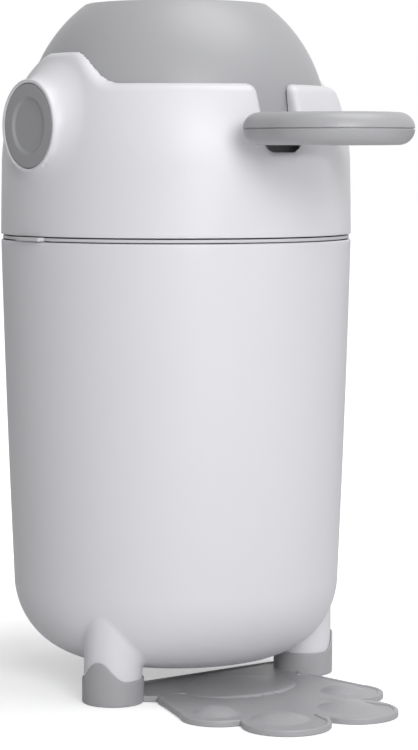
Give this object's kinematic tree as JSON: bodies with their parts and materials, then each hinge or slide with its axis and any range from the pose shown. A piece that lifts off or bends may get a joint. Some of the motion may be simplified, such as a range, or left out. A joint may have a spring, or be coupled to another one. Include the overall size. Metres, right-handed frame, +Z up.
{
  "type": "nappy bin",
  "caption": "Free-standing nappy bin with a tapered body on feet, a paw-shaped foot plate and a round drum that flips with a loop handle.",
  "frame": {"origin": "on the floor, midway between the centres of the two front feet", "axes": "+Z up, -Y towards the handle and the foot plate, +X along the drum's axis towards the collar hinge"},
  "size_m": [0.2922, 0.3925, 0.54],
  "materials": {
    "white_plastic": "satin moulded plastic",
    "grey_plastic": "satin moulded plastic",
    "dark_grey_plastic": "satin moulded plastic",
    "light_grey_plastic": "satin moulded plastic",
    "soft_seal": "soft matte",
    "screw_steel": "plated"
  },
  "bodies": {
    "base": {"bin_body": "white_plastic", "bin_bowl": "white_plastic", "leg_left": "white_plastic", "leg_right": "white_plastic", "leg_rear": "white_plastic", "boot_left": "grey_plastic", "boot_right": "grey_plastic", "boot_rear": "grey_plastic", "foot_plate": "grey_plastic", "grip_pads": "soft_seal", "foot_screws": "screw_steel"},
    "top_unit": {"bag_ring": "light_grey_plastic", "ring_gasket": "soft_seal", "hinge_pin": "screw_steel"},
    "latch": {"release_latch": "light_grey_plastic"},
    "collar": {"collar_shell": "white_plastic", "drum_cradle": "white_plastic", "cradle_seal": "soft_seal", "bush_left": "light_grey_plastic", "bush_right": "light_grey_plastic", "cradle_screws": "screw_steel"},
    "drum": {"drum_shell_upper": "grey_plastic", "drum_shell_lower": "grey_plastic", "chamber_tube": "light_grey_plastic", "rim_ring_upper": "grey_plastic", "rim_ring_lower": "grey_plastic", "trunnion_left": "light_grey_plastic", "trunnion_right": "light_grey_plastic", "pivot_cap_left": "dark_grey_plastic", "pivot_cap_right": "dark_grey_plastic", "drum_screws": "screw_steel", "handle_upper": "grey_plastic", "handle_lower": "grey_plastic", "handle_screws": "screw_steel", "neck_pin": "screw_steel"},
    "piston": {"piston_body": "light_grey_plastic", "piston_cover": "grey_plastic", "piston_seal_upper": "soft_seal", "piston_seal_lower": "soft_seal"}
  },
  "joints": [
    {"name": "top_unit_lift", "type": "slide", "parent": "base", "child": "top_unit", "axis": [0, 0, 1], "range_m": [0, 0.06]},
    {"name": "latch_press", "type": "slide", "parent": "top_unit", "child": "latch", "axis": [1, 0, 0], "range_m": [0, 0.0025], "stiffness_N_per_m": 800},
    {"name": "collar_open", "type": "hinge", "parent": "top_unit", "child": "collar", "pos_m": [0.1446, 0.046, 0.3592], "axis": [0, 1, 0], "range_deg": [0, 95]},
    {"name": "drum_flip", "type": "hinge", "parent": "collar", "child": "drum", "pos_m": [0, 0.046, 0.4435], "axis": [-1, 0, 0], "range_deg": [0, 180]},
    {"name": "piston_drop", "type": "slide", "parent": "drum", "child": "piston", "axis": [0, 0, 1], "range_m": [0, 0.142]}
  ]
}
